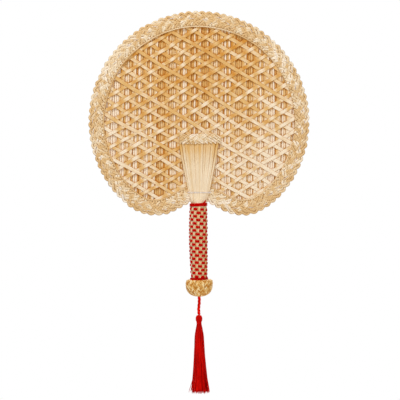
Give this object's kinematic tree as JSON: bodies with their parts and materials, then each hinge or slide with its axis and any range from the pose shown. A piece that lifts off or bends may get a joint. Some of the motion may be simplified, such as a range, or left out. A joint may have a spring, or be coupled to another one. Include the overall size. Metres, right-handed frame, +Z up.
{
  "type": "round straw hand fan with a tassel",
  "caption": "Round hand fan of woven straw: plaited rim, open hexagonal weave over upright straws, straw handle woven with red yarn, pommel and hanging red tassel.",
  "frame": {"origin": "on the handle's axis, halfway along the handle, where a hand holds it", "axes": "+Z up along the handle towards the top of the round blade, -Y out of the front of the fan towards the viewer, +X to the viewer's right"},
  "size_m": [0.2866, 0.0344, 0.4959],
  "materials": {
    "straw": "glossy dried stalk",
    "split_straw": "satin dried strip",
    "plaited_straw": "satin plait",
    "bamboo": "plain split cane",
    "nylon": "clear sewing thread",
    "red_yarn": "shiny twisted yarn"
  },
  "bodies": {
    "fan": {"back_straws": "straw", "lattice_falling": "split_straw", "lattice_rising": "split_straw", "lattice_uprights": "split_straw", "rim_hoop": "bamboo", "rim_braid_front": "plaited_straw", "rim_braid_back": "plaited_straw", "edging_front": "split_straw", "edging_back": "split_straw", "rim_stitches": "nylon", "handle_core": "bamboo", "handle_straws_front": "straw", "handle_straws_back": "straw", "neck_band_front": "plaited_straw", "neck_band_back": "plaited_straw", "neck_thread": "nylon", "top_binding": "red_yarn", "red_weft": "red_yarn", "bottom_binding": "red_yarn", "pommel_cap": "plaited_straw", "pommel_core": "bamboo", "cord_knot": "red_yarn"},
    "cord": {"tassel_cord": "red_yarn"},
    "tassel": {"tassel_head": "red_yarn", "tassel_tie": "red_yarn", "tassel_skirt": "red_yarn"}
  },
  "joints": [
    {"name": "cord_swing", "type": "hinge", "parent": "fan", "child": "cord", "pos_m": [0, 0, -0.0738], "axis": [0, 1, 0], "range_deg": [-80, 80]},
    {"name": "tassel_swing", "type": "hinge", "parent": "cord", "child": "tassel", "pos_m": [0, 0, -0.0954], "axis": [1, 0, 0], "range_deg": [-80, 80]}
  ]
}
